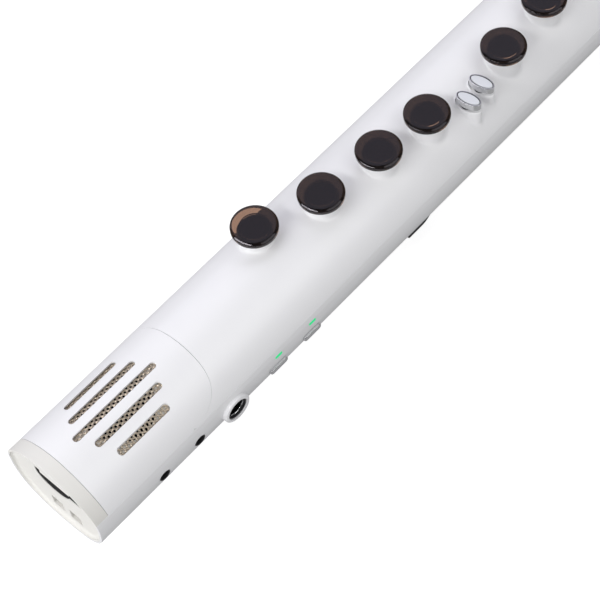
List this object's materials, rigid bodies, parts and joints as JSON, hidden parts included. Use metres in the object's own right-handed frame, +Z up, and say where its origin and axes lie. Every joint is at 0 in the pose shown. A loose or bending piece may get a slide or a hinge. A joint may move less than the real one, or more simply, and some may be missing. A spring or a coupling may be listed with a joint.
{
  "type": "digital wind controller",
  "caption": "Straight electronic wind instrument with round finger keys, small chrome keys, side sockets, slotted speaker grille and a reed mouthpiece that pulls off.",
  "frame": {"origin": "Middle of the length and width, at the lowest point, which is the underside of the thumb hook.", "axes": "+X runs from the bell end to the mouthpiece tip, +Z points up out of the finger keys, and -Y is the side with the sockets and side buttons."},
  "size_m": [0.574, 0.0422, 0.0582],
  "materials": {
    "pearl_shell": "pearl white, soft gloss",
    "cream_cap": "warm white, satin",
    "steel": "plain steel",
    "black_plastic": "black, satin",
    "cone_paper": "dark pressed paper",
    "smoked_disc": "smoked, translucent, polished",
    "graphite_stem": "dark, satin",
    "silicone": "translucent grey",
    "grey_button": "grey, matt",
    "chrome_trim": "bright plated",
    "board": "green laminate",
    "green_lamp": "green lens",
    "cell_wrap": "blue shrink wrap",
    "black_rubber": "black, matt",
    "sensor_case": "white moulded",
    "reed_resin": "cane-coloured resin"
  },
  "bodies": {
    "casing": {"lower_shell": "pearl_shell", "upper_shell": "pearl_shell", "bell_cover": "pearl_shell", "neck_cone": "pearl_shell", "bell_end_cap": "cream_cap", "speaker_grille": "steel", "speaker_basket": "steel", "speaker_magnet": "steel", "thumb_hook_screw": "steel", "strap_screw_1": "steel", "strap_screw_2": "steel", "shell_screw_1": "steel", "shell_screw_2": "steel", "shell_screw_3": "steel", "shell_screw_4": "steel", "usb_socket": "steel", "output_jack": "steel", "speaker_baffle": "black_plastic", "line_jack": "black_plastic", "phones_jack": "black_plastic", "thumb_hook": "black_plastic", "receiver_tube": "black_plastic", "speaker_cone": "cone_paper", "key_membrane": "silicone", "breath_hose": "silicone", "strap_ring": "chrome_trim", "main_board": "board", "side_board": "board", "jack_board": "board", "octave_board": "board", "lamp_lens_1": "green_lamp", "lamp_lens_2": "green_lamp", "battery_cell": "cell_wrap", "receiver_o_ring": "black_rubber", "breath_sensor": "sensor_case"},
    "key_1": {"key_disc_1": "smoked_disc", "key_stem_1": "graphite_stem"},
    "key_2": {"key_disc_2": "smoked_disc", "key_stem_2": "graphite_stem"},
    "key_3": {"key_disc_3": "smoked_disc", "key_stem_3": "graphite_stem"},
    "key_4": {"key_disc_4": "smoked_disc", "key_stem_4": "graphite_stem"},
    "key_5": {"key_disc_5": "smoked_disc", "key_stem_5": "graphite_stem"},
    "key_6": {"key_disc_6": "smoked_disc", "key_stem_6": "graphite_stem"},
    "key_7": {"key_disc_7": "smoked_disc", "key_stem_7": "graphite_stem"},
    "oval_1": {"oval_key_1": "chrome_trim"},
    "oval_2": {"oval_key_2": "chrome_trim"},
    "function_1": {"function_button_1": "grey_button"},
    "function_2": {"function_button_2": "grey_button"},
    "side_1": {"side_button_1": "chrome_trim"},
    "side_2": {"side_button_2": "chrome_trim"},
    "octave_1": {"octave_key_1": "chrome_trim"},
    "octave_2": {"octave_key_2": "chrome_trim"},
    "mouthpiece_set": {"mouthpiece": "black_plastic", "reed": "reed_resin", "ligature": "black_plastic"}
  },
  "joints": [
    {"name": "key_1_press", "type": "slide", "parent": "casing", "child": "key_1", "axis": [0, 0, -1], "range_m": [0, 0.0012], "stiffness_N_per_m": 250, "springref_m": -0.002, "deforming": ["key_membrane"]},
    {"name": "key_2_press", "type": "slide", "parent": "casing", "child": "key_2", "axis": [0, 0, -1], "range_m": [0, 0.0012], "stiffness_N_per_m": 250, "springref_m": -0.002},
    {"name": "key_3_press", "type": "slide", "parent": "casing", "child": "key_3", "axis": [0, 0, -1], "range_m": [0, 0.0012], "stiffness_N_per_m": 250, "springref_m": -0.002},
    {"name": "key_4_press", "type": "slide", "parent": "casing", "child": "key_4", "axis": [0, 0, -1], "range_m": [0, 0.0012], "stiffness_N_per_m": 250, "springref_m": -0.002},
    {"name": "key_5_press", "type": "slide", "parent": "casing", "child": "key_5", "axis": [0, 0, -1], "range_m": [0, 0.0012], "stiffness_N_per_m": 250, "springref_m": -0.002},
    {"name": "key_6_press", "type": "slide", "parent": "casing", "child": "key_6", "axis": [0, 0, -1], "range_m": [0, 0.0012], "stiffness_N_per_m": 250, "springref_m": -0.002},
    {"name": "key_7_press", "type": "slide", "parent": "casing", "child": "key_7", "axis": [0, 0, -1], "range_m": [0, 0.0012], "stiffness_N_per_m": 250, "springref_m": -0.002},
    {"name": "oval_key_1_press", "type": "slide", "parent": "casing", "child": "oval_1", "axis": [0, 0, -1], "range_m": [0, 0.001], "stiffness_N_per_m": 250, "springref_m": -0.002},
    {"name": "oval_key_2_press", "type": "slide", "parent": "casing", "child": "oval_2", "axis": [0, 0, -1], "range_m": [0, 0.001], "stiffness_N_per_m": 250, "springref_m": -0.002},
    {"name": "function_button_1_press", "type": "slide", "parent": "casing", "child": "function_1", "axis": [0, 0, -1], "range_m": [0, 0.0005], "stiffness_N_per_m": 400, "springref_m": -0.001},
    {"name": "function_button_2_press", "type": "slide", "parent": "casing", "child": "function_2", "axis": [0, 0, -1], "range_m": [0, 0.0005], "stiffness_N_per_m": 400, "springref_m": -0.001},
    {"name": "side_button_1_press", "type": "slide", "parent": "casing", "child": "side_1", "axis": [0, 1, 0], "range_m": [0, 0.0006], "stiffness_N_per_m": 400, "springref_m": -0.001},
    {"name": "side_button_2_press", "type": "slide", "parent": "casing", "child": "side_2", "axis": [0, 1, 0], "range_m": [0, 0.0006], "stiffness_N_per_m": 400, "springref_m": -0.001},
    {"name": "octave_key_1_press", "type": "slide", "parent": "casing", "child": "octave_1", "axis": [0, 0, 1], "range_m": [0, 0.001], "stiffness_N_per_m": 300, "springref_m": -0.002},
    {"name": "octave_key_2_press", "type": "slide", "parent": "casing", "child": "octave_2", "axis": [0, 0, 1], "range_m": [0, 0.001], "stiffness_N_per_m": 300, "springref_m": -0.002},
    {"name": "mouthpiece_pull", "type": "slide", "parent": "casing", "child": "mouthpiece_set", "axis": [1, 0, 0], "range_m": [0, 0.034]}
  ]
}
